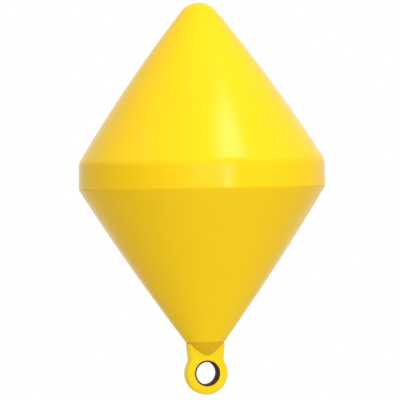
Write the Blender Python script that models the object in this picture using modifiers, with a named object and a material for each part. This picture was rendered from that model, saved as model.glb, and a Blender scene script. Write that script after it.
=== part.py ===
"""Double-cone marker buoy.

Two moulded shells make the hull. A plate with a steel-bushed eye is moulded into its foot, for the
mooring, and a plug closes the hole through which the hull is filled with foam.

Metres, +Z up. The origin is on the hull's axis, at the waterline of the moored buoy. The eye plate
lies in the XZ plane, and the plug is on the +Y side.
"""

import math

import bmesh
import bpy

# Hull
HULL_RADIUS = 0.400  # at the lower ridge, the widest place
BELT_HEIGHT = 0.087  # between the two ridges
BELT_TAPER = 0.001  # less in radius at the upper ridge
CROWN_HEIGHT = 0.515  # upper ridge to the tip
CROWN_FLANK_RADIUS = 4.7  # the swell of the upper cone
TIP_RADIUS = 0.0715
KEEL_HEIGHT = 0.497  # lower ridge to the edge of the neck
KEEL_FLANK_RADIUS = 7.5  # the swell of the lower cone
NECK_RADIUS = 0.0655
FOOT_HALF_ANGLE = math.radians(42)  # the blunt cone below the neck
UPPER_RIDGE_ROUND = 0.045
LOWER_RIDGE_ROUND = 0.026
NECK_ROUND = 0.006
WALL = 0.006
SPIGOT_HEIGHT = 0.030  # the lower shell's ring inside the belt
SPIGOT_WALL = 0.005
WATERLINE_DROP = 0.120  # waterline below the lower ridge

# Steel bush in the eye
BORE_RADIUS = 0.037
BUSH_WALL = 0.005
BUSH_RECESS = 0.0005  # each end below the plate's face
BUSH_CHAMFER = 0.001

# Eye plate, moulded into the foot
PLATE_THICKNESS = 0.048
PLATE_EDGE_ROUND = 0.012
PLATE_TAPER = math.radians(6)  # each side, from the shoulders down to the waist
WAIST_INSET = 0.0085  # the waist's half width is this much under the neck's radius
WAIST_ROUND = 0.020  # hollow between the waist and the ring
EYE_RIM = 0.0275  # ring outside the bush
EYE_WEB = 0.0146  # plate between the foot's end and the eye
FOOT_COVER = 0.001  # plate over the rim of the foot's end
STEM_RADIUS = 0.015
ANCHOR_HEIGHT = 0.022  # the stem's head inside the foot

# Filling plug, on a flat pad sunk into the upper cone
PLUG_HEIGHT = 0.190  # above the upper ridge
PAD_MARGIN = 0.005  # pad outside the flange
PAD_LIP = 0.0004  # depth of the pad where the cone is shallowest over it
FLANGE_RADIUS = 0.025
FLANGE_THICKNESS = 0.005
FLANGE_ROUND = 0.0015
SHANK_RADIUS = 0.016
SHANK_LENGTH = 0.016
SOCKET_RADIUS = 0.008  # hexagon for the key, across its corners
SOCKET_DEPTH = 0.0035
SEAL_THICKNESS = 0.0015
SEAL_MARGIN = 0.002  # flange beyond the seal

SEAT_GAP = 0.0003  # between pieces that seat on each other
CUT_MARGIN = 0.006  # cutters beyond the piece that they cut

HULL_STEPS = 64
SMALL_STEPS = 48
HEXAGON = 6
TIP_SEGMENTS = 6
FLANK_SEGMENTS = 6
ROUND_SEGMENTS = 4
RING_SEGMENTS = 18
SHARP_ANGLE = math.radians(30)
PLATE_CORNER_ANGLE = math.radians(60)  # only the plate's face edges are rounded
WELD_DISTANCE = 0.00001
FLAT_ANGLE = math.radians(1)

# Heights and radii that follow from the sizes above
LOWER_RIDGE_Z = WATERLINE_DROP
UPPER_RIDGE_Z = LOWER_RIDGE_Z + BELT_HEIGHT
TIP_Z = UPPER_RIDGE_Z + CROWN_HEIGHT
NECK_Z = LOWER_RIDGE_Z - KEEL_HEIGHT
FOOT_END_RADIUS = PLATE_THICKNESS / 2 - FOOT_COVER
FOOT_END_Z = NECK_Z - (NECK_RADIUS - FOOT_END_RADIUS) / math.tan(FOOT_HALF_ANGLE)
FOOT_FLOOR_Z = FOOT_END_Z + WALL
PLATE_SEAT_Z = FOOT_END_Z - SEAT_GAP
BUSH_RADIUS = BORE_RADIUS + BUSH_WALL
EYE_RADIUS = BUSH_RADIUS + EYE_RIM
EYE_Z = PLATE_SEAT_Z - EYE_WEB - BUSH_RADIUS - SEAT_GAP
WAIST_HALF_WIDTH = NECK_RADIUS - WAIST_INSET
PAD_RADIUS = FLANGE_RADIUS + PAD_MARGIN
UPPER_RIDGE = (HULL_RADIUS - BELT_TAPER, UPPER_RIDGE_Z)
LOWER_RIDGE = (HULL_RADIUS, LOWER_RIDGE_Z)
NECK = (NECK_RADIUS, NECK_Z)
FOOT_END = (FOOT_END_RADIUS, FOOT_END_Z)

HULL_YELLOW = (0.95, 0.70, 0.02, 1.0)
STEEL_GREY = (0.16, 0.14, 0.13, 1.0)
SEAL_BLACK = (0.02, 0.02, 0.02, 1.0)
SATIN_PLASTIC_ROUGHNESS = 0.38
DULL_STEEL_ROUGHNESS = 0.45
RUBBER_ROUGHNESS = 0.7


def clear_scene():
    for obj in list(bpy.data.objects):
        bpy.data.objects.remove(obj)


def new_collection(name):
    collection = bpy.data.collections.new(name)
    bpy.context.scene.collection.children.link(collection)
    return collection


def new_material(name, colour, roughness, metallic):
    material = bpy.data.materials.new(name)
    material.use_nodes = True
    shader = material.node_tree.nodes["Principled BSDF"]
    shader.inputs["Base Color"].default_value = colour
    shader.inputs["Roughness"].default_value = roughness
    shader.inputs["Metallic"].default_value = metallic
    return material


# Profiles: lists of (radius, height) points, from the top down on an outer side


def arc(centre, radius, start, end, segments):
    """Points on an arc; angles are from the radius direction towards +Z."""
    steps = [start + (end - start) * i / segments for i in range(segments + 1)]
    return [
        (centre[0] + radius * math.cos(a), centre[1] + radius * math.sin(a)) for a in steps
    ]


def corner_arc(before, corner, after, radius):
    """The round that replaces a corner between two straight runs."""
    to_before = math.atan2(before[1] - corner[1], before[0] - corner[0])
    to_after = math.atan2(after[1] - corner[1], after[0] - corner[0])
    opening = (to_before - to_after) % math.tau
    side = 1 if opening <= math.pi else -1
    half = (opening if side > 0 else math.tau - opening) / 2
    reach = radius / math.sin(half)
    middle = to_after + side * half
    centre = (corner[0] + reach * math.cos(middle), corner[1] + reach * math.sin(middle))
    facing = middle + math.pi
    sweep = side * (math.pi / 2 - half)
    return arc(centre, radius, facing - sweep, facing + sweep, ROUND_SEGMENTS)


def inset(run, depth):
    """A run moved inwards, square to itself, with its end on the axis kept there."""
    moved = []
    for i, (radius, height) in enumerate(run):
        first = run[max(i - 1, 0)]
        last = run[min(i + 1, len(run) - 1)]
        along = (last[0] - first[0], last[1] - first[1])
        length = math.hypot(*along)
        if radius == 0:
            moved.append((0.0, height - depth))
        else:
            moved.append((radius + along[1] / length * depth, height - along[0] / length * depth))
    return moved


def height_at(run, radius):
    """Where a run first passes a radius."""
    for (r0, z0), (r1, z1) in zip(run, run[1:]):
        if min(r0, r1) <= radius <= max(r0, r1) and r0 != r1:
            return z0 + (z1 - z0) * (radius - r0) / (r1 - r0)
    raise ValueError("the run never reaches that radius")


def crown_flank_centre():
    """Centre of the upper cone's swell, which runs on from the round tip to the upper ridge."""
    tip_centre = (0.0, TIP_Z - TIP_RADIUS)
    to_ridge = (UPPER_RIDGE[0] - tip_centre[0], UPPER_RIDGE[1] - tip_centre[1])
    between = math.hypot(*to_ridge)
    from_tip = CROWN_FLANK_RADIUS - TIP_RADIUS
    along = (from_tip**2 - CROWN_FLANK_RADIUS**2 + between**2) / (2 * between)
    across = math.sqrt(from_tip**2 - along**2)
    unit = (to_ridge[0] / between, to_ridge[1] / between)
    return (
        tip_centre[0] + unit[0] * along + unit[1] * across,
        tip_centre[1] + unit[1] * along - unit[0] * across,
    )


def keel_flank():
    """The lower cone's swell, from the lower ridge to the neck."""
    chord = (NECK[0] - LOWER_RIDGE[0], NECK[1] - LOWER_RIDGE[1])
    length = math.hypot(*chord)
    depth = math.sqrt(KEEL_FLANK_RADIUS**2 - length**2 / 4)
    middle = ((NECK[0] + LOWER_RIDGE[0]) / 2, (NECK[1] + LOWER_RIDGE[1]) / 2)
    centre = (middle[0] + chord[1] / length * depth, middle[1] - chord[0] / length * depth)
    start = math.atan2(LOWER_RIDGE[1] - centre[1], LOWER_RIDGE[0] - centre[0])
    end = math.atan2(NECK[1] - centre[1], NECK[0] - centre[0])
    return arc(centre, KEEL_FLANK_RADIUS, start, end, FLANK_SEGMENTS)


def lower_ridge_round():
    return corner_arc(UPPER_RIDGE, LOWER_RIDGE, keel_flank()[1], LOWER_RIDGE_ROUND)


def parting():
    """Where the two shells meet, at the middle of the lower ridge's round."""
    return lower_ridge_round()[ROUND_SEGMENTS // 2]


def belt_inner_radius(height):
    rise = (height - LOWER_RIDGE_Z) / BELT_HEIGHT
    return HULL_RADIUS - WALL - BELT_TAPER * rise


def foot_radius(height):
    return FOOT_END_RADIUS + (height - FOOT_END_Z) * math.tan(FOOT_HALF_ANGLE)


def foot_offset_radius(height, outwards):
    """Radius of the foot's cone moved square to its surface."""
    return foot_radius(height) + outwards / math.cos(FOOT_HALF_ANGLE)


# Solids


def turned(name, profile, steps, collection, closed):
    """A solid turned from a profile about its own Z axis."""
    mesh = bpy.data.meshes.new(name)
    edges = [(i, i + 1) for i in range(len(profile) - 1)]
    if closed:
        edges.append((len(profile) - 1, 0))
    mesh.from_pydata([(radius, 0.0, height) for radius, height in profile], edges, [])
    obj = bpy.data.objects.new(name, mesh)
    collection.objects.link(obj)
    screw = obj.modifiers.new("Turn", "SCREW")
    screw.axis = "Z"
    screw.angle = math.tau
    screw.steps = steps
    screw.render_steps = steps
    screw.use_merge_vertices = True
    screw.merge_threshold = 0.0001
    return obj


def as_cutter(obj):
    obj.hide_render = True
    obj.display_type = "WIRE"
    return obj


def boolean(obj, other, operation):
    modifier = obj.modifiers.new(operation.title(), "BOOLEAN")
    modifier.operation = operation
    modifier.solver = "EXACT"
    modifier.object = other


def finished(obj, material):
    """The piece with its modifiers applied, shaded smooth between its edges."""
    bpy.context.view_layer.update()
    evaluated = obj.evaluated_get(bpy.context.evaluated_depsgraph_get())
    mesh = bpy.data.meshes.new_from_object(evaluated)
    mesh.name = obj.name
    mesh.materials.clear()
    mesh.materials.append(material)
    mesh.shade_smooth()
    mesh.set_sharp_from_angle(angle=SHARP_ANGLE)
    obj.modifiers.clear()
    obj.data = mesh
    return obj


def plate_from_outline(name, outline, thickness, collection):
    """A flat plate in the XZ plane, from the 2D curve of its outline."""
    curve = bpy.data.curves.new(name, "CURVE")
    curve.dimensions = "2D"
    curve.fill_mode = "BOTH"
    curve.extrude = thickness / 2
    spline = curve.splines.new("POLY")
    spline.points.add(len(outline) - 1)
    for point, (x, z) in zip(spline.points, outline):
        point.co = (x, z, 0.0, 1.0)
    spline.use_cyclic_u = True
    drawn = bpy.data.objects.new(name + "_outline", curve)
    drawn.rotation_euler = (math.pi / 2, 0.0, 0.0)
    collection.objects.link(drawn)
    bpy.context.view_layer.update()
    evaluated = drawn.evaluated_get(bpy.context.evaluated_depsgraph_get())
    mesh = bpy.data.meshes.new_from_object(evaluated)
    mesh.name = name
    solid = bmesh.new()
    solid.from_mesh(mesh)
    bmesh.ops.remove_doubles(solid, verts=solid.verts, dist=WELD_DISTANCE)
    bmesh.ops.dissolve_limit(
        solid, angle_limit=FLAT_ANGLE, verts=solid.verts, edges=solid.edges
    )
    bmesh.ops.recalc_face_normals(solid, faces=solid.faces)
    solid.to_mesh(mesh)
    solid.free()
    obj = bpy.data.objects.new(name, mesh)
    obj.matrix_world = drawn.matrix_world
    collection.objects.link(obj)
    bpy.data.objects.remove(drawn)
    return obj


def upper_shell(parts, cutters, yellow):
    """Upper cone, round tip and belt: one moulding, open at the lower ridge."""
    centre = crown_flank_centre()
    tangent = math.atan2(TIP_Z - TIP_RADIUS - centre[1], -centre[0])
    ridge_angle = math.atan2(UPPER_RIDGE_Z - centre[1], UPPER_RIDGE[0] - centre[0])
    tip = arc((0.0, TIP_Z - TIP_RADIUS), TIP_RADIUS, math.pi / 2, tangent, TIP_SEGMENTS)
    tip[0] = (0.0, TIP_Z)
    flank = arc(centre, CROWN_FLANK_RADIUS, tangent, ridge_angle, FLANK_SEGMENTS)
    ridge = corner_arc(flank[-2], UPPER_RIDGE, LOWER_RIDGE, UPPER_RIDGE_ROUND)
    cone = tip + flank[1:-1] + ridge
    radius, height = parting()
    lip = lower_ridge_round()[: ROUND_SEGMENTS // 2]
    rim = [(radius, height + SEAT_GAP), (belt_inner_radius(height), height + SEAT_GAP)]
    shell = turned(
        "upper_shell", cone + lip + rim + inset(cone, WALL)[::-1], HULL_STEPS, parts, False
    )

    seat = pad_seat()
    pad_profile = rod(PAD_RADIUS, CUT_MARGIN, 0.0)
    pad = as_cutter(turned("pad_cutter", pad_profile, SMALL_STEPS, cutters, False))
    seat_piece(pad, seat)
    hole_profile = rod(SHANK_RADIUS + SEAT_GAP, CUT_MARGIN, -WALL - CUT_MARGIN)
    hole = as_cutter(turned("hole_cutter", hole_profile, SMALL_STEPS, cutters, False))
    seat_piece(hole, seat)
    boolean(shell, pad, "DIFFERENCE")
    boolean(shell, hole, "DIFFERENCE")
    return finished(shell, yellow)


def lower_shell(parts, yellow):
    """Lower cone, neck and blunt foot, with the spigot that stands up inside the belt."""
    radius, height = parting()
    flank = keel_flank()
    neck = corner_arc(flank[-2], NECK, FOOT_END, NECK_ROUND)
    lip = lower_ridge_round()[ROUND_SEGMENTS // 2 + 1 :]
    outer = [(radius, height)] + lip + flank[1:-1] + neck + [FOOT_END]

    stem_hole = STEM_RADIUS + SEAT_GAP
    floor_radius = foot_offset_radius(FOOT_FLOOR_Z, -WALL)
    end = [(stem_hole, FOOT_END_Z), (stem_hole, FOOT_FLOOR_Z), (floor_radius, FOOT_FLOOR_Z)]

    spigot_top = height + SPIGOT_HEIGHT
    spigot_inner = belt_inner_radius(height) - SEAT_GAP - SPIGOT_WALL
    inner_run = inset([LOWER_RIDGE] + flank[1:-1] + neck, WALL)
    meeting = height_at(inner_run, spigot_inner)
    inner = [point for point in inner_run if point[0] < spigot_inner][::-1]
    spigot = [
        (spigot_inner, meeting),
        (spigot_inner, spigot_top),
        (belt_inner_radius(spigot_top) - SEAT_GAP, spigot_top),
        (belt_inner_radius(height) - SEAT_GAP, height),
    ]
    shell = turned("lower_shell", outer + end + inner + spigot, HULL_STEPS, parts, True)
    return finished(shell, yellow)


def eye_outline():
    """The plate's outline: shoulders, waist and ring. The eye's centre is at 0, 0."""
    hollow_x = WAIST_HALF_WIDTH + WAIST_ROUND
    hollow_z = math.sqrt((EYE_RADIUS + WAIST_ROUND) ** 2 - hollow_x**2)
    meeting = math.atan2(hollow_z, hollow_x)
    hollow = arc(
        (hollow_x, hollow_z), WAIST_ROUND, math.pi - PLATE_TAPER, math.pi + meeting, ROUND_SEGMENTS
    )
    ring = arc((0.0, 0.0), EYE_RADIUS, meeting, -math.pi / 2, RING_SEGMENTS)
    shoulder_z = NECK_Z - EYE_Z
    shoulder_x = hollow[0][0] + (shoulder_z - hollow[0][1]) * math.tan(PLATE_TAPER)
    half = [(shoulder_x, shoulder_z)] + hollow + ring[1:]
    return half + [(-x, z) for x, z in half[-2::-1]]


def mooring_lug(parts, cutters, yellow):
    """Eye plate: its shoulders fit the foot's cone, and its stem holds a head inside the foot."""
    lug = plate_from_outline("mooring_lug", eye_outline(), PLATE_THICKNESS, parts)
    lug.location = (0.0, 0.0, EYE_Z)
    edges = lug.modifiers.new("Rounded edges", "BEVEL")
    edges.width = PLATE_EDGE_ROUND
    edges.segments = ROUND_SEGMENTS
    edges.limit_method = "ANGLE"
    edges.angle_limit = PLATE_CORNER_ANGLE

    clear_top = NECK_Z + CUT_MARGIN
    seat_profile = [
        (0.0, clear_top),
        (foot_offset_radius(clear_top, SEAT_GAP), clear_top),
        (foot_offset_radius(PLATE_SEAT_Z, SEAT_GAP), PLATE_SEAT_Z),
        (0.0, PLATE_SEAT_Z),
    ]
    seat = as_cutter(turned("foot_cutter", seat_profile, HULL_STEPS, cutters, False))
    boolean(lug, seat, "DIFFERENCE")

    head_base = FOOT_FLOOR_Z + SEAT_GAP
    head_top = head_base + ANCHOR_HEIGHT
    root = PLATE_SEAT_Z - EYE_WEB / 2
    anchor_profile = [
        (0.0, head_top),
        (foot_offset_radius(head_top, -WALL - SEAT_GAP), head_top),
        (foot_offset_radius(head_base, -WALL - SEAT_GAP), head_base),
        (STEM_RADIUS, head_base),
        (STEM_RADIUS, root),
        (0.0, root),
    ]
    anchor = as_cutter(turned("anchor_form", anchor_profile, HULL_STEPS, cutters, False))
    boolean(lug, anchor, "UNION")

    half_length = PLATE_THICKNESS / 2 + CUT_MARGIN
    bore_profile = rod(BUSH_RADIUS + SEAT_GAP, half_length, -half_length)
    bore = as_cutter(turned("bore_cutter", bore_profile, SMALL_STEPS, cutters, False))
    lay_in_eye(bore)
    boolean(lug, bore, "DIFFERENCE")
    return finished(lug, yellow)


def lay_in_eye(obj):
    """Puts a turned piece in the eye, its axis square to the plate."""
    obj.location = (0.0, 0.0, EYE_Z)
    obj.rotation_euler = (math.pi / 2, 0.0, 0.0)


def eye_bush(parts, steel):
    """Steel tube that lines the eye, so that the shackle doesn't wear the plate."""
    end = PLATE_THICKNESS / 2 - BUSH_RECESS
    inner = BORE_RADIUS
    profile = [
        (BUSH_RADIUS, end),
        (BUSH_RADIUS, -end),
        (inner + BUSH_CHAMFER, -end),
        (inner, -end + BUSH_CHAMFER),
        (inner, end - BUSH_CHAMFER),
        (inner + BUSH_CHAMFER, end),
    ]
    bush = turned("eye_bush", profile, SMALL_STEPS, parts, True)
    lay_in_eye(bush)
    return finished(bush, steel)


def rod(radius, top, bottom):
    return [(0.0, top), (radius, top), (radius, bottom), (0.0, bottom)]


def pad_seat():
    """Centre of the plug's pad on the +Y side, and how far the pad's axis leans back from +Z."""
    centre = crown_flank_centre()
    height = UPPER_RIDGE_Z + PLUG_HEIGHT
    slope = math.asin((height - centre[1]) / CROWN_FLANK_RADIUS)
    radius = centre[0] + CROWN_FLANK_RADIUS * math.cos(slope)
    sunk = PAD_RADIUS**2 * math.cos(slope) / (2 * radius) + PAD_LIP
    place = (0.0, radius - sunk * math.cos(slope), height - sunk * math.sin(slope))
    return place, slope - math.pi / 2


def seat_piece(obj, seat):
    place, lean = seat
    obj.location = place
    obj.rotation_euler = (lean, 0.0, 0.0)


def plug_seal(parts, black):
    """Flat rubber ring under the plug's flange."""
    inner = SHANK_RADIUS + SEAT_GAP
    outer = FLANGE_RADIUS - SEAL_MARGIN
    base = SEAT_GAP
    top = base + SEAL_THICKNESS
    profile = [(outer, top), (outer, base), (inner, base), (inner, top)]
    seal = turned("plug_seal", profile, SMALL_STEPS, parts, True)
    seat_piece(seal, pad_seat())
    return finished(seal, black)


def filler_plug(parts, cutters, yellow):
    """Screwed plug with a round flange and a hexagon socket."""
    under = SEAL_THICKNESS + 2 * SEAT_GAP
    top = under + FLANGE_THICKNESS
    edge = corner_arc((0.0, top), (FLANGE_RADIUS, top), (FLANGE_RADIUS, under), FLANGE_ROUND)
    profile = [(0.0, top)] + edge + [
        (FLANGE_RADIUS, under),
        (SHANK_RADIUS, under),
        (SHANK_RADIUS, under - SHANK_LENGTH),
        (0.0, under - SHANK_LENGTH),
    ]
    plug = turned("filler_plug", profile, SMALL_STEPS, parts, False)
    seat_piece(plug, pad_seat())
    socket_profile = rod(SOCKET_RADIUS, top + CUT_MARGIN, top - SOCKET_DEPTH)
    socket = as_cutter(turned("socket_cutter", socket_profile, HEXAGON, cutters, False))
    seat_piece(socket, pad_seat())
    boolean(plug, socket, "DIFFERENCE")
    return finished(plug, yellow)


clear_scene()
parts = new_collection("marker_buoy")
cutters = new_collection("cutters")
yellow = new_material("hull_yellow", HULL_YELLOW, SATIN_PLASTIC_ROUGHNESS, 0.0)
steel = new_material("bush_steel", STEEL_GREY, DULL_STEEL_ROUGHNESS, 1.0)
black = new_material("seal_rubber", SEAL_BLACK, RUBBER_ROUGHNESS, 0.0)
upper_shell(parts, cutters, yellow)
lower_shell(parts, yellow)
mooring_lug(parts, cutters, yellow)
eye_bush(parts, steel)
plug_seal(parts, black)
filler_plug(parts, cutters, yellow)
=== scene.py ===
"""Double-cone marker buoy, in its finishes, on a plain stage.

Metres, +Z up, in the frame of the CAD. The origin is on the hull's axis at the waterline.
"""

import math

import bmesh
import bpy
from mathutils import Matrix, Vector


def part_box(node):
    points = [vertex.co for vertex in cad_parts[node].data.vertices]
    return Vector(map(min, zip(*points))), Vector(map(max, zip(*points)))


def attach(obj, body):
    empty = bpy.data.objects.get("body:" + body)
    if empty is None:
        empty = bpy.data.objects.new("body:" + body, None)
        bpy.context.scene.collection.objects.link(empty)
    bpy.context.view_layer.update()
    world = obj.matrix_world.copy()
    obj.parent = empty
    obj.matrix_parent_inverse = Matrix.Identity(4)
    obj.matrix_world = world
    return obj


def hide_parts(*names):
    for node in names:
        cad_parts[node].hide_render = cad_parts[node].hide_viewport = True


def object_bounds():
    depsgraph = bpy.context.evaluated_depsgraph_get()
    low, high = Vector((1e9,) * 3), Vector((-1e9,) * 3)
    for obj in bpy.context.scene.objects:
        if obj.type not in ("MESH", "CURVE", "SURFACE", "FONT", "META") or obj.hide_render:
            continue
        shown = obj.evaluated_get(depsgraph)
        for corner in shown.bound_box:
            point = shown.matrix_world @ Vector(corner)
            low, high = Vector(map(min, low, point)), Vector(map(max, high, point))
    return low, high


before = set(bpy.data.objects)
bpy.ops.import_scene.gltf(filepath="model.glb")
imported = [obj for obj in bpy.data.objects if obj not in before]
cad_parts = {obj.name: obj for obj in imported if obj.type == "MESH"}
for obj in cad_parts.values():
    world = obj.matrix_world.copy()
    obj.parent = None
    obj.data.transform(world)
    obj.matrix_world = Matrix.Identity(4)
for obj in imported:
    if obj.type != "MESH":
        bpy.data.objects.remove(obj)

cad_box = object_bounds()


# Camera: a long lens, level with the belt, a little to the left of the eye plate's face. It is
# turned so that the buoy leans slightly, with its tip to the left.

VIEW_AZIMUTH = math.radians(-14)
VIEW_DISTANCE = 10.0
VIEW_PITCH = 0.0128
VIEW_LEAN = math.radians(1.15)
AIM_HEIGHT = 0.081
AIM_LEFT = 0.0076
LENS = 277.2

view_right = Vector((math.cos(VIEW_AZIMUTH), math.sin(VIEW_AZIMUTH), 0.0))
view_back = Vector((math.sin(VIEW_AZIMUTH), -math.cos(VIEW_AZIMUTH), 0.0))
view_up = Vector((0.0, 0.0, 1.0))


def from_view(right, back, up):
    """A point given by how far it lies to the right of the hull's axis, towards the camera and up."""
    return view_right * right + view_back * back + view_up * up


camera_data = bpy.data.cameras.new("camera")
camera_data.sensor_width = 36.0
camera_data.lens = LENS
camera_data.clip_end = 100.0
camera = bpy.data.objects.new("camera", camera_data)
bpy.context.scene.collection.objects.link(camera)
back = view_back * math.cos(VIEW_PITCH) + view_up * math.sin(VIEW_PITCH)
level_up = view_up * math.cos(VIEW_PITCH) - view_back * math.sin(VIEW_PITCH)
up = level_up * math.cos(VIEW_LEAN) + view_right * math.sin(VIEW_LEAN)
right = up.cross(back)
place = from_view(-AIM_LEFT, 0.0, AIM_HEIGHT) + back * VIEW_DISTANCE
turn = Matrix((right, up, back)).transposed().to_4x4()
camera.matrix_world = Matrix.Translation(place) @ turn
bpy.context.scene.camera = camera


# Hull shells: two rotation-moulded polyethylene cones, coloured through, welded at the belt's lower
# ridge. The moulding leaves a satin skin with a faint orange peel and slow waves in it.

HULL_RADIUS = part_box("upper_shell")[1].x
TIP_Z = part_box("upper_shell")[1].z
FOOT_END_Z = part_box("lower_shell")[0].z
BELT_HEIGHT = 0.087
BELT_TAPER = 0.001
CROWN_HEIGHT = 0.515
CROWN_FLANK_RADIUS = 4.7
TIP_RADIUS = 0.0715
UPPER_RIDGE_ROUND = 0.045
LOWER_RIDGE_ROUND = 0.026
KEEL_HEIGHT = 0.497
KEEL_FLANK_RADIUS = 7.5
NECK_RADIUS = 0.0655
NECK_ROUND = 0.006
FOOT_END_RADIUS = 0.023
WALL = 0.006
WELD_GAP = 0.0003
STEM_HOLE = 0.0153
HULL_STEPS = 192
ROUND_STEPS = 12
FLANK_STEPS = 24

UPPER_RIDGE_Z = TIP_Z - CROWN_HEIGHT
LOWER_RIDGE_Z = UPPER_RIDGE_Z - BELT_HEIGHT
UPPER_RIDGE = (HULL_RADIUS - BELT_TAPER, UPPER_RIDGE_Z)
LOWER_RIDGE = (HULL_RADIUS, LOWER_RIDGE_Z)
NECK = (NECK_RADIUS, LOWER_RIDGE_Z - KEEL_HEIGHT)
FOOT_END = (FOOT_END_RADIUS, FOOT_END_Z)


def arc(centre, radius, start, end, steps):
    """Points on an arc in the plane of (radius, height)."""
    turns = [start + (end - start) * i / steps for i in range(steps + 1)]
    return [(centre[0] + radius * math.cos(a), centre[1] + radius * math.sin(a)) for a in turns]


def bearing(centre, point):
    return math.atan2(point[1] - centre[1], point[0] - centre[0])


def ridge_arc(before, corner, after, radius, steps):
    """The round that replaces a corner of the profile, which turns clockwise there."""
    to_before, to_after = bearing(corner, before), bearing(corner, after)
    opening = (to_before - to_after) % math.tau
    side = 1 if opening <= math.pi else -1
    half = (opening if side > 0 else math.tau - opening) / 2
    middle = to_after + side * half
    reach = radius / math.sin(half)
    centre = (corner[0] + reach * math.cos(middle), corner[1] + reach * math.sin(middle))
    sweep = side * (math.pi / 2 - half)
    return arc(centre, radius, middle + math.pi - sweep, middle + math.pi + sweep, steps)


def inner_wall(run, depth):
    """The run moved square to itself towards the axis; a point on the axis stays on it."""
    moved = []
    for i, (radius, height) in enumerate(run):
        before, after = run[max(i - 1, 0)], run[min(i + 1, len(run) - 1)]
        along = (after[0] - before[0], after[1] - before[1])
        length = math.hypot(*along)
        if radius == 0:
            moved.append((0.0, height - depth))
        else:
            moved.append((radius + along[1] / length * depth, height - along[0] / length * depth))
    return moved


def crown_centre():
    """Centre of the upper cone's swell: it touches the round tip and passes the upper ridge."""
    tip = (0.0, TIP_Z - TIP_RADIUS)
    to_ridge = (UPPER_RIDGE[0] - tip[0], UPPER_RIDGE[1] - tip[1])
    between = math.hypot(*to_ridge)
    from_tip = CROWN_FLANK_RADIUS - TIP_RADIUS
    along = (from_tip**2 - CROWN_FLANK_RADIUS**2 + between**2) / (2 * between)
    across = math.sqrt(from_tip**2 - along**2)
    ahead = (to_ridge[0] / between, to_ridge[1] / between)
    radius = tip[0] + ahead[0] * along + ahead[1] * across
    return (radius, tip[1] + ahead[1] * along - ahead[0] * across)


def keel_flank():
    chord = (NECK[0] - LOWER_RIDGE[0], NECK[1] - LOWER_RIDGE[1])
    length = math.hypot(*chord)
    depth = math.sqrt(KEEL_FLANK_RADIUS**2 - length**2 / 4)
    middle = ((NECK[0] + LOWER_RIDGE[0]) / 2, (NECK[1] + LOWER_RIDGE[1]) / 2)
    centre = (middle[0] + chord[1] / length * depth, middle[1] - chord[0] / length * depth)
    start, end = bearing(centre, LOWER_RIDGE), bearing(centre, NECK)
    return arc(centre, KEEL_FLANK_RADIUS, start, end, FLANK_STEPS)


crown = crown_centre()
tangent = math.atan2(TIP_Z - TIP_RADIUS - crown[1], -crown[0])
tip = arc((0.0, TIP_Z - TIP_RADIUS), TIP_RADIUS, math.pi / 2, tangent, ROUND_STEPS)
tip[0] = (0.0, TIP_Z)
crown_run = arc(crown, CROWN_FLANK_RADIUS, tangent, bearing(crown, UPPER_RIDGE), FLANK_STEPS)
upper_ridge = ridge_arc(crown_run[-2], UPPER_RIDGE, LOWER_RIDGE, UPPER_RIDGE_ROUND, ROUND_STEPS)
crown_run = [point for point in crown_run[1:] if point[1] > upper_ridge[0][1]]
upper_outer = tip + crown_run + upper_ridge

keel_run = keel_flank()
lower_ridge = ridge_arc(UPPER_RIDGE, LOWER_RIDGE, keel_run[1], LOWER_RIDGE_ROUND, ROUND_STEPS)
neck = ridge_arc(keel_run[-2], NECK, FOOT_END, NECK_ROUND, ROUND_STEPS // 2)
keel_run = [p for p in keel_run if neck[0][1] < p[1] < lower_ridge[-1][1]]
half_ridge = ROUND_STEPS // 2
weld = lower_ridge[half_ridge]
belt_wall = HULL_RADIUS - WALL

upper_profile = upper_outer + lower_ridge[:half_ridge]
upper_profile += [(weld[0], weld[1] + WELD_GAP), (belt_wall, weld[1] + WELD_GAP)]
upper_profile += inner_wall(upper_outer, WALL)[::-1]
lower_outer = lower_ridge[half_ridge + 1 :] + keel_run + neck
lower_profile = [weld] + lower_outer + [FOOT_END, (STEM_HOLE, FOOT_END_Z)]
lower_profile += [(STEM_HOLE, FOOT_END_Z + WALL)]
lower_profile += [p for p in inner_wall(lower_outer, WALL) if p[1] > FOOT_END_Z + WALL][::-1]
lower_profile += [(belt_wall - WELD_GAP, weld[1]), weld]


RING_SEAM = 0.00002


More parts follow.
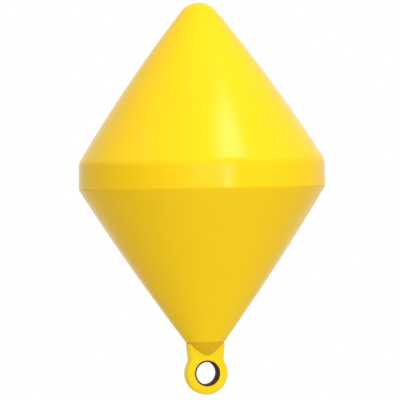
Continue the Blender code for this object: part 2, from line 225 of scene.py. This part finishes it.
def turned_moulding_tree():
    """Nodes that turn a profile about Z: its points are the columns of a grid bent into a ring."""
    tree = bpy.data.node_groups.new("turned_moulding", "GeometryNodeTree")
    tree.interface.new_socket("Profile", in_out="INPUT", socket_type="NodeSocketGeometry")
    tree.interface.new_socket("Steps", in_out="INPUT", socket_type="NodeSocketInt")
    tree.interface.new_socket("Finish", in_out="INPUT", socket_type="NodeSocketMaterial")
    tree.interface.new_socket("Moulding", in_out="OUTPUT", socket_type="NodeSocketGeometry")

    def add(kind, settings, sockets):
        made = tree.nodes.new(kind)
        for key, value in settings.items():
            setattr(made, key, value)
        for key, value in sockets.items():
            if isinstance(value, bpy.types.NodeSocket):
                tree.links.new(value, made.inputs[key])
            else:
                made.inputs[key].default_value = value
        return made.outputs

    def maths(operation, *values):
        return add("ShaderNodeMath", {"operation": operation}, dict(enumerate(values)))[0]

    asked = tree.nodes.new("NodeGroupInput").outputs
    size = add("GeometryNodeAttributeDomainSize", {}, {"Geometry": asked["Profile"]})
    rows = size["Point Count"]
    columns = maths("ADD", asked["Steps"], 1)
    grid = add("GeometryNodeMeshGrid", {}, {"Vertices X": columns, "Vertices Y": rows})
    index = add("GeometryNodeInputIndex", {}, {})["Index"]
    column = maths("FLOOR", maths("DIVIDE", maths("ADD", index, 0.5), rows))
    row = maths("SUBTRACT", index, maths("MULTIPLY", column, rows))
    position = add("GeometryNodeInputPosition", {}, {})["Position"]
    sample = add(
        "GeometryNodeSampleIndex",
        {"data_type": "FLOAT_VECTOR", "domain": "POINT"},
        {"Geometry": asked["Profile"], "Value": position, "Index": row},
    )
    point = add("ShaderNodeSeparateXYZ", {}, {0: sample["Value"]})
    angle = maths("MULTIPLY", maths("DIVIDE", column, asked["Steps"]), math.tau)
    ring = add(
        "ShaderNodeCombineXYZ",
        {},
        {
            0: maths("MULTIPLY", point["X"], maths("COSINE", angle)),
            1: maths("MULTIPLY", point["X"], maths("SINE", angle)),
            2: point["Z"],
        },
    )
    bent = add("GeometryNodeSetPosition", {}, {"Geometry": grid["Mesh"], "Position": ring[0]})
    closed = add("GeometryNodeMergeByDistance", {}, {"Geometry": bent[0], "Distance": RING_SEAM})
    real = add("GeometryNodeRealizeInstances", {}, {"Geometry": closed[0]})
    done = add("GeometryNodeSetMaterial", {}, {"Geometry": real[0], "Material": asked["Finish"]})
    tree.links.new(done[0], tree.nodes.new("NodeGroupOutput").inputs["Moulding"])
    return tree


turned_moulding = turned_moulding_tree()
SHARP_EDGE = math.radians(30)
WELD_DISTANCE = 0.000005


def settle(obj):
    """The object with its modifiers made into one plain closed mesh, smooth between its edges."""
    bpy.context.view_layer.update()
    evaluated = obj.evaluated_get(bpy.context.evaluated_depsgraph_get())
    mesh = bpy.data.meshes.new_from_object(evaluated)
    obj.modifiers.clear()
    obj.data = mesh
    solid = bmesh.new()
    solid.from_mesh(mesh)
    bmesh.ops.remove_doubles(solid, verts=solid.verts, dist=WELD_DISTANCE)
    bmesh.ops.recalc_face_normals(solid, faces=solid.faces)
    solid.to_mesh(mesh)
    solid.free()
    mesh.shade_smooth()
    mesh.set_sharp_from_angle(angle=SHARP_EDGE)
    return obj


def turned(name, profile, steps, material):
    """A moulding turned from a profile of (radius, height) points."""
    mesh = bpy.data.meshes.new(name)
    points = [(radius, 0.0, height) for radius, height in profile]
    mesh.from_pydata(points, [(i, i + 1) for i in range(len(points) - 1)], [])
    obj = bpy.data.objects.new(name, mesh)
    bpy.context.scene.collection.objects.link(obj)
    turning = obj.modifiers.new("Turn", "NODES")
    turning.node_group = turned_moulding
    named = {item.name: item.identifier for item in turned_moulding.interface.items_tree}
    turning[named["Steps"]] = steps
    turning[named["Finish"]] = material
    return settle(obj)


class Shade:
    """One socket of a material's nodes, so that sums are written as sums."""

    def __init__(self, finish, socket):
        self.finish = finish
        self.socket = socket

    def maths(self, operation, *values):
        return self.finish.node("ShaderNodeMath", {"operation": operation}, dict(enumerate(values)))

    def __add__(self, other):
        return self.maths("ADD", self, other)

    def __mul__(self, other):
        return self.maths("MULTIPLY", self, other)

    __radd__ = __add__
    __rmul__ = __mul__

    def between(self, low, high):
        """0 below low, 1 above high, with a smooth step from one to the other."""
        settings = {"interpolation_type": "SMOOTHSTEP"}
        return self.finish.node("ShaderNodeMapRange", settings, {"Value": self, 1: low, 2: high})


class Finish:
    """A material being put together around its Principled BSDF."""

    def __init__(self, name, fixed):
        self.material = bpy.data.materials.new(name)
        self.material.use_nodes = True
        self.tree = self.material.node_tree
        self.shader = self.tree.nodes["Principled BSDF"]
        self.place = self.node("ShaderNodeTexCoord", {}, {}, "Object")
        for key, value in fixed.items():
            self.shader.inputs[key].default_value = value

    def node(self, kind, settings, sockets, output=0):
        made = self.tree.nodes.new(kind)
        for key, value in settings.items():
            setattr(made, key, value)
        for key, value in sockets.items():
            self.feed(made.inputs[key], value)
        return Shade(self, made.outputs[output])

    def feed(self, socket, value):
        if isinstance(value, Shade):
            self.tree.links.new(value.socket, socket)
        else:
            socket.default_value = value

    def noise(self, scale, detail=2.0, stretch=(1.0, 1.0, 1.0), roughness=0.5):
        place = self.node("ShaderNodeMapping", {}, {"Vector": self.place, "Scale": stretch})
        sockets = {"Vector": place, "Scale": scale, "Detail": detail, "Roughness": roughness}
        return self.node("ShaderNodeTexNoise", {}, sockets)

    def mix(self, factor, first, second):
        """A colour between two colours."""
        return self.node("ShaderNodeMix", {"data_type": "RGBA"}, {0: factor, 6: first, 7: second}, 2)

    def bump(self, height, strength, distance, under=None):
        sockets = {"Height": height, "Strength": strength, "Distance": distance}
        if under:
            sockets["Normal"] = under
        return self.node("ShaderNodeBump", {}, sockets)

    def done(self, **varying):
        for key, value in varying.items():
            self.feed(self.shader.inputs[key.replace("_", " ")], value)
        return self.material


# Height over which the painted shade of the foot blends in at the neck.
FOOT_SHADE_BLEND = 0.003


def moulded_polyethylene(name, clean, deep, chalky, peel_strength, painted_foot_shade=None):
    """Coloured-through polyethylene: slow drifts of tone, chalky scuffs and an orange-peel skin.

    Where a colour for the foot is given, the moulding below its neck takes that darker colour:
    painted shade, standing in for the shade on the foot's downward faces.
    """
    skin = Finish(name, {"IOR": 1.5, "Specular IOR Level": 0.11, "Metallic": 0.0})
    drift = skin.noise(2.6, 3.0).between(0.30, 0.70)
    cloud = skin.noise(17.0, 4.0, roughness=0.62).between(0.35, 0.75)
    scuff = skin.noise(30.0, 5.0, stretch=(1.0, 1.0, 0.22), roughness=0.7).between(0.66, 0.80)
    graze = skin.noise(120.0, 3.0, stretch=(0.25, 0.25, 1.6)).between(0.64, 0.74)
    worn = scuff * graze
    tone = skin.mix(drift * 0.55 + cloud * 0.25, clean, deep)
    # Painted shade: below the neck, the colour given for the foot darkens the moulding where its
    # faces turn down from the light.
    if painted_foot_shade:
        height = skin.node("ShaderNodeSeparateXYZ", {}, {0: skin.place}, "Z")
        tone = skin.mix(height.between(NECK[1] + FOOT_SHADE_BLEND, NECK[1] - FOOT_SHADE_BLEND), tone, painted_foot_shade)
    colour = skin.mix(worn * 0.45, tone, chalky)
    peel = skin.noise(420.0, 2.0)
    wave = skin.noise(9.0, 2.0)
    slow = skin.bump(wave, 0.25, 0.0012)
    fine = skin.bump(peel, peel_strength, 0.0002, slow)
    rough = drift * 0.04 + cloud * 0.03 + worn * 0.18 + 0.19
    return skin.done(Base_Color=colour, Roughness=rough, Normal=fine)


# The foot colour is painted shade: below the neck the yellow is darkened to stand for the shade on
# the foot's downward faces.
hull_yellow = moulded_polyethylene(
    "hull_yellow",
    clean=(0.95, 0.665, 0.010, 1.0),
    deep=(0.94, 0.635, 0.008, 1.0),
    chalky=(0.95, 0.74, 0.10, 1.0),
    peel_strength=0.35,
    painted_foot_shade=(0.80, 0.49, 0.008, 1.0),
)


# Upper shell: the upper cone, its round tip and the belt, with a flat pad sunk into the +Y side,
# where the plug closes the filling hole.

upper = turned("upper_moulding", upper_profile, HULL_STEPS, hull_yellow)

PLUG_HEIGHT = 0.190
PAD_RADIUS = 0.030
PAD_LIP = 0.0004
PLUG_HOLE_RADIUS = 0.0163
CUT_DEPTH = 0.012


def pad_matrix():
    """The pad's centre, with +Z square to the pad."""
    height = UPPER_RIDGE_Z + PLUG_HEIGHT
    slope = math.asin((height - crown[1]) / CROWN_FLANK_RADIUS)
    radius = crown[0] + CROWN_FLANK_RADIUS * math.cos(slope)
    sunk = PAD_RADIUS**2 * math.cos(slope) / (2 * radius) + PAD_LIP
    place = Vector((0.0, radius - sunk * math.cos(slope), height - sunk * math.sin(slope)))
    return Matrix.Translation(place) @ Matrix.Rotation(slope - math.pi / 2, 4, "X")


def cut_round(obj, radius, bottom, top, place, steps=96):
    """A round cut through the piece along the place's Z."""
    profile = [(0.0, top), (radius, top), (radius, bottom), (0.0, bottom)]
    cutter = turned("cutter", profile, steps, None)
    cutter.matrix_world = place
    cutting = obj.modifiers.new("Cut", "BOOLEAN")
    cutting.solver = "EXACT"
    cutting.object = cutter
    settle(obj)
    bpy.data.objects.remove(cutter)


cut_round(upper, PAD_RADIUS, 0.0, CUT_DEPTH, pad_matrix())
cut_round(upper, PLUG_HOLE_RADIUS, -2 * CUT_DEPTH, CUT_DEPTH, pad_matrix())
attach(upper, "root")
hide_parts("upper_shell")


# Lower shell: the lower cone, its neck and the blunt foot that the eye plate is moulded round.

lower = turned("lower_moulding", lower_profile, HULL_STEPS, hull_yellow)
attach(lower, "root")
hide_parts("lower_shell")


# Eye plate: a solid polyethylene plate with rounded edges, in the hull's yellow. Its shoulders fit
# the foot's cone, and a stem with a wide head holds it from inside the foot.


def finer(name, node, material):
    """A smooth piece made from a CAD node's own faces, merged."""
    obj = bpy.data.objects.new(name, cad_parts[node].data.copy())
    bpy.context.scene.collection.objects.link(obj)
    obj.data.materials.clear()
    obj.data.materials.append(material)
    settle(obj)
    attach(obj, "root")
    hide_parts(node)
    return obj


lug_yellow = moulded_polyethylene(
    "lug_yellow",
    clean=(0.93, 0.72, 0.012, 1.0),
    deep=(0.90, 0.67, 0.009, 1.0),
    chalky=(0.95, 0.76, 0.13, 1.0),
    peel_strength=0.5,
)
finer("eye_plate", "mooring_lug", lug_yellow)


# Bush: a short steel tube pressed into the eye, which the shackle bears on. It is dull and a very
# dark brown, with the marks of its turning round the wall.

steel = Finish("bush_steel", {"Metallic": 0.2, "Specular IOR Level": 0.1})
patches = steel.noise(55.0, 5.0, roughness=0.65).between(0.38, 0.66)
turned_marks = steel.noise(300.0, 2.0, stretch=(1.0, 0.08, 1.0))
DULL_STEEL = (0.075, 0.048, 0.036, 1.0)
BROWN_STEEL = (0.050, 0.022, 0.014, 1.0)
steel_colour = steel.mix(patches, DULL_STEEL, BROWN_STEEL)
bush_steel = steel.done(
    Base_Color=steel_colour,
    Roughness=patches * 0.22 + turned_marks * 0.08 + 0.6,
    Normal=steel.bump(turned_marks + patches * 0.6, 0.3, 0.0002),
)
finer("steel_bush", "eye_bush", bush_steel)


# Filling plug and its seal: a screwed polyethylene plug with a hexagon socket closes the hole that
# the foam went in by. It presses a flat black rubber ring on the pad.

finer("filling_plug", "filler_plug", hull_yellow)

rubber = Finish("seal_rubber", {"Specular IOR Level": 0.3})
bloom = rubber.noise(90.0, 4.0).between(0.35, 0.75)
seal_rubber = rubber.done(
    Base_Color=rubber.mix(bloom, (0.016, 0.016, 0.017, 1.0), (0.045, 0.043, 0.041, 1.0)),
    Roughness=bloom * 0.2 + 0.6,
    Normal=rubber.bump(rubber.noise(700.0, 2.0), 0.2, 0.0001),
)
finer("sealing_ring", "plug_seal", seal_rubber)


# Stage: a pale round paper floor below the eye. It fades into a white surround, whose glow is
# brighter from above, and it isn't there for an eye that looks from below.

FLOOR_DROP = 0.35
FLOOR_RADIUS = 3.0
FADE_START = 1.0
GREY_FLECK = (0.72, 0.72, 0.72, 1.0)
PALE_PAPER = (0.76, 0.76, 0.76, 1.0)

floor_place = (0.0, 0.0, cad_box[0][2] - FLOOR_DROP)
bpy.ops.mesh.primitive_circle_add(
    vertices=128, radius=FLOOR_RADIUS, fill_type="NGON", location=floor_place
)
floor = bpy.context.object
floor.name = "floor"
paper = Finish("floor_paper", {"Roughness": 0.9, "Specular IOR Level": 0.1})
fleck = paper.noise(40.0, 3.0)
paper.done(Base_Color=paper.mix(fleck, GREY_FLECK, PALE_PAPER))
across = paper.node("ShaderNodeVectorMath", {"operation": "LENGTH"}, {0: paper.place}, "Value")
clear = paper.node("ShaderNodeBsdfTransparent", {}, {})
from_below = paper.node("ShaderNodeNewGeometry", {}, {}, "Backfacing")
fade = across.between(FADE_START, FLOOR_RADIUS)
unseen = paper.node("ShaderNodeMath", {"operation": "MAXIMUM"}, {0: fade, 1: from_below})
matt = Shade(paper, paper.shader.outputs["BSDF"])
faded = paper.node("ShaderNodeMixShader", {}, {0: unseen, 1: matt, 2: clear})
paper.feed(paper.tree.nodes["Material Output"].inputs["Surface"], faded)
floor.data.materials.append(paper.material)

WHITE = (1.0, 1.0, 1.0, 1.0)
GLOW_ABOVE = (0.80, 0.76, 0.70, 1.0)
GLOW_BELOW = (0.31, 0.21, 0.12, 1.0)
GLOW_START = -0.4
GLOW_END = 0.8

world = bpy.data.worlds.new("surround")
world.use_nodes = True
world.node_tree.nodes.clear()
bpy.context.scene.world = world


def surround_node(kind, settings, sockets, output=0):
    """A node of the surround, with its sockets filled or linked."""
    made = world.node_tree.nodes.new(kind)
    for key, value in settings.items():
        setattr(made, key, value)
    for key, value in sockets.items():
        if isinstance(value, bpy.types.NodeSocket):
            world.node_tree.links.new(value, made.inputs[key])
        else:
            made.inputs[key].default_value = value
    return made.outputs[output] if made.outputs else None


direction = surround_node("ShaderNodeTexCoord", {}, {}, "Generated")
height = surround_node("ShaderNodeSeparateXYZ", {}, {0: direction}, "Z")
smooth = {"interpolation_type": "SMOOTHSTEP"}
above = surround_node("ShaderNodeMapRange", smooth, {"Value": height, 1: GLOW_START, 2: GLOW_END})
glows = {0: above, 6: GLOW_BELOW, 7: GLOW_ABOVE}
glow = surround_node("ShaderNodeMix", {"data_type": "RGBA"}, glows, 2)
ambient = surround_node("ShaderNodeBackground", {}, {"Color": glow, "Strength": 1.0})
white = surround_node("ShaderNodeBackground", {}, {"Color": WHITE, "Strength": 1.0})
larger = {"operation": "MAXIMUM"}
seen = surround_node("ShaderNodeLightPath", {}, {}, "Is Camera Ray")
for kind in ("Is Glossy Ray", "Is Transmission Ray"):
    ray = surround_node("ShaderNodeLightPath", {}, {}, kind)
    seen = surround_node("ShaderNodeMath", larger, {0: seen, 1: ray})
shown = surround_node("ShaderNodeMixShader", {}, {0: seen, 1: ambient, 2: white})
surround_node("ShaderNodeOutputWorld", {}, {"Surface": shown})


# Lamps: soft boxes. The key hangs high and leaves the streak on the cone, a low one leaves the
# streak on the belt, two large ones fill the front, and weak ones light the sides.


def soft_box(name, right, back, up, width, height, power):
    lamp = bpy.data.lights.new(name, "AREA")
    lamp.shape = "RECTANGLE"
    lamp.size = width
    lamp.size_y = height
    lamp.energy = power
    obj = bpy.data.objects.new(name, lamp)
    bpy.context.scene.collection.objects.link(obj)
    obj.location = from_view(right, back, up)
    aim = Vector((0.0, 0.0, AIM_HEIGHT)) - obj.location
    obj.rotation_euler = aim.to_track_quat("-Z", "Y").to_euler()


soft_box("key_box", 1.24, 1.52, 3.25, 1.2, 0.5, 38.0)
soft_box("high_front_box", -0.2, 3.4, 2.6, 4.0, 2.8, 10.0)
soft_box("ridge_box", 1.30, 3.3, 1.8, 0.9, 0.25, 9.0)
soft_box("low_front_box", 0.5, 4.0, 0.6, 2.6, 1.4, 33.0)
soft_box("streak_box", 1.48, 3.5, 0.16, 0.35, 0.7, 15.0)
soft_box("right_high_box", 3.4, 0.9, 2.2, 2.0, 2.0, 4.0)
soft_box("right_low_box", 3.6, 1.2, -0.4, 1.8, 0.9, 5.0)
soft_box("left_high_box", -3.2, 1.3, 3.2, 2.0, 2.0, 12.0)

bpy.context.scene.view_settings.view_transform = "Standard"
